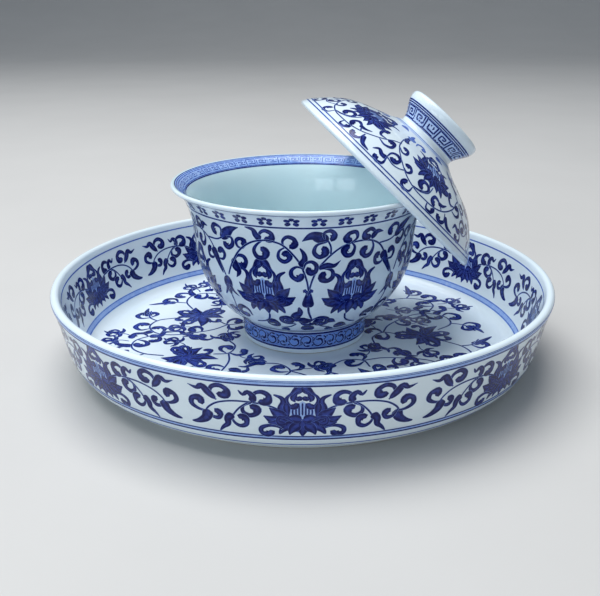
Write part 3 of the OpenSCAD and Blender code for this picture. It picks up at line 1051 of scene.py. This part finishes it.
class GAIWAN_OT_lid_painting(bpy.types.Operator):
    """Paint the lid's dome and its knob"""
    bl_idname = "gaiwan.lid_painting"
    bl_label = "Lid painting"

    def execute(self, context):
        outside, knob, _, _, _ = lid_lines()
        place = lid_place()
        lift = finish().painting_lift

        p = Painting(lift)
        face = Turned(outside, place)
        rim = NECK_R + face.end
        where = from_above(face, lambda r: np.clip(rim - r, 0, face.end))
        flower, scroll, neck_leaves = lotus(), read(LID_SCROLL), read(NECK_LEAVES)
        for k in range(6):
            a = k * math.pi / 3
            lay(p, where, scroll, turn=a, fat=0.84)
            lay(p, where, flower, round_and_round(0.9, -37.4, a), (0.92, 0.96), turn=a, fat=0.92,
                fringe=0.3, heart=0.8)
            lay(p, where, neck_leaves, turn=a, depth=0.62)
        t = np.radians(np.linspace(0, 360, 361))
        for r, w, depth in ((46.3, 0.36, 0.85), (47.8, 0.36, 0.85), (14.0, 0.34, 0.5),
                            (15.0, 0.9, 0.16)):
            p.stroke(where, np.stack([r * np.cos(t), r * np.sin(t)], 1), w, "ring", depth)
        p.mesh("lid_painting_dome", "lid", "cobalt")

        q = Painting(lift)
        where, reference = round_wall(Turned(knob, place), 0, 13), 13
        q.hoops(where, reference, (3.75, 4.4, 0.16), (1.45, 0.42, 1), (6.1, 0.38, 1),
                (6.85, 0.38, 1), (7.6, 0.42, 1))
        meander(q, where, reference, 14, 1.7, 5.8, 0.5)
        q.mesh("lid_painting_knob", "lid", "cobalt")
        return {"FINISHED"}


def pick_edges(piece, wanted):
    """Selects the edges whose two ends both pass."""
    corners = piece.data.vertices
    for e in piece.data.edges:
        e.select = all(wanted(corners[i].co) for i in e.vertices)


def lamp(name, at, aim, size, power, tint):
    """A flat lamp at one place, turned to another."""
    data = bpy.data.lights.new(name, "AREA")
    data.shape, data.size, data.size_y = "RECTANGLE", *size
    data.energy, data.color = power, tint
    o = bpy.data.objects.new(name, data)
    o.location = at
    o.rotation_euler = (Vector(aim) - Vector(at)).to_track_quat("-Z", "Y").to_euler()
    bpy.context.scene.collection.objects.link(o)


class GAIWAN_OT_stage(bpy.types.Operator):
    """Set the floor, the soft light and the camera"""
    bl_idname = "gaiwan.stage"
    bl_label = "Stage"

    def execute(self, context):
        s = context.scene.gaiwan_stage
        back = 2.9          # edges further back than this are the floor's far edge
        clear_selection()
        bpy.ops.mesh.primitive_plane_add(size=6, location=(0, 0, 0))
        floor = context.object
        floor.name = "floor"
        bpy.ops.object.mode_set(mode="EDIT")
        bpy.ops.mesh.select_mode(type="EDGE")
        bpy.ops.mesh.select_all(action="DESELECT")
        bpy.ops.object.mode_set(mode="OBJECT")
        pick_edges(floor, lambda co: co.y > back)
        bpy.ops.object.mode_set(mode="EDIT")
        bpy.ops.mesh.extrude_region_move(TRANSFORM_OT_translate={"value": (0, 0.4, 3)})
        bpy.ops.object.mode_set(mode="OBJECT")
        pick_edges(floor, lambda co: co.y > back and co.z < 0.1)
        bpy.ops.object.mode_set(mode="EDIT")
        bpy.ops.mesh.bevel(offset=1.6, segments=20, affect="EDGES")
        bpy.ops.object.mode_set(mode="OBJECT")
        bpy.ops.object.shade_smooth_by_angle(angle=math.radians(60))
        m, t, shader = new_material("pale floor")
        pale = tuple(s.floor)
        grain = noise(t, (-600, 0), 9, 4)
        shade = ramp(t, (-350, 0), grain, [(0.3, shaded(pale, 0.96)), (0.7, pale)])
        t.links.new(shade, shader.inputs["Base Color"])
        shader.inputs["Roughness"].default_value = 0.6
        floor.data.materials.append(m)

        lamp("key light", (-0.24, 0.10, 1.15), (0, 0, 0.03), (1.1, 1.0), 18.0, (0.98, 0.99, 1.0))
        for name, along in (("window left", -0.26), ("window right", 0.26)):
            lamp(name, (-0.68 + along * 0.8, -0.92 - along * 0.6, 0.40), (0, 0.02, 0.05),
                 (0.44, 0.30), 1.8, (0.86, 0.94, 1.0))
        world = bpy.data.worlds.new("soft room")
        world.use_nodes = True
        sky = world.node_tree.nodes["Background"]
        sky.inputs["Color"].default_value = (0.72, 0.84, 1.0, 1)
        sky.inputs["Strength"].default_value = 0.26
        context.scene.world = world
        context.scene.view_settings.view_transform = "Standard"

        camera = bpy.data.cameras.new("camera")
        camera.lens, camera.sensor_width = s.lens, 36
        camera.clip_start, camera.clip_end = 0.01, 20
        o = bpy.data.objects.new("camera", camera)
        down, roll, yaw = s.camera_down, -0.003, -0.003
        ahead = Vector((math.sin(yaw) * math.cos(down), math.cos(yaw) * math.cos(down),
                        -math.sin(down)))
        right = Vector((math.cos(yaw), -math.sin(yaw), 0))
        up = right.cross(ahead)
        c, d = math.cos(roll), math.sin(roll)
        right, up = c * right + d * up, -d * right + c * up
        pose = Matrix((right, up, -ahead)).transposed().to_4x4()
        pose.translation = (0, -s.camera_back, s.camera_high)
        o.matrix_world = pose
        context.scene.collection.objects.link(o)
        context.scene.camera = o
        return {"FINISHED"}


STEPS = (GAIWAN_OT_tray, GAIWAN_OT_bowl, GAIWAN_OT_lid, GAIWAN_OT_tray_painting,
         GAIWAN_OT_bowl_painting, GAIWAN_OT_lid_painting, GAIWAN_OT_stage)


class GAIWAN_PT_panel(bpy.types.Panel):
    """Lists the pieces and their settings"""
    bl_idname = "GAIWAN_PT_panel"
    bl_label = "Gaiwan"
    bl_space_type = "VIEW_3D"
    bl_region_type = "UI"
    bl_category = "Gaiwan"

    def draw(self, context):
        for step in STEPS:
            self.layout.operator(step.bl_idname)
        for group in ("gaiwan_sizes", "gaiwan_finish", "gaiwan_stage"):
            box = self.layout.box()
            settings = getattr(context.scene, group)
            for name in setting_names(settings):
                box.prop(settings, name)


GROUPS = {"gaiwan_sizes": GaiwanSizes, "gaiwan_finish": GaiwanFinish, "gaiwan_stage": GaiwanStage}


def register():
    for c in (*GROUPS.values(), *STEPS, GAIWAN_PT_panel):
        bpy.utils.register_class(c)
    for name, c in GROUPS.items():
        setattr(bpy.types.Scene, name, bpy.props.PointerProperty(type=c))


def unregister():
    for name in GROUPS:
        delattr(bpy.types.Scene, name)
    for c in reversed((*GROUPS.values(), *STEPS, GAIWAN_PT_panel)):
        bpy.utils.unregister_class(c)


def main():
    register()
    for step in STEPS:
        part, name = step.bl_idname.split(".")
        getattr(getattr(bpy.ops, part), name)()
    bpy.context.view_layer.update()


if __name__ == "__main__":
    main()
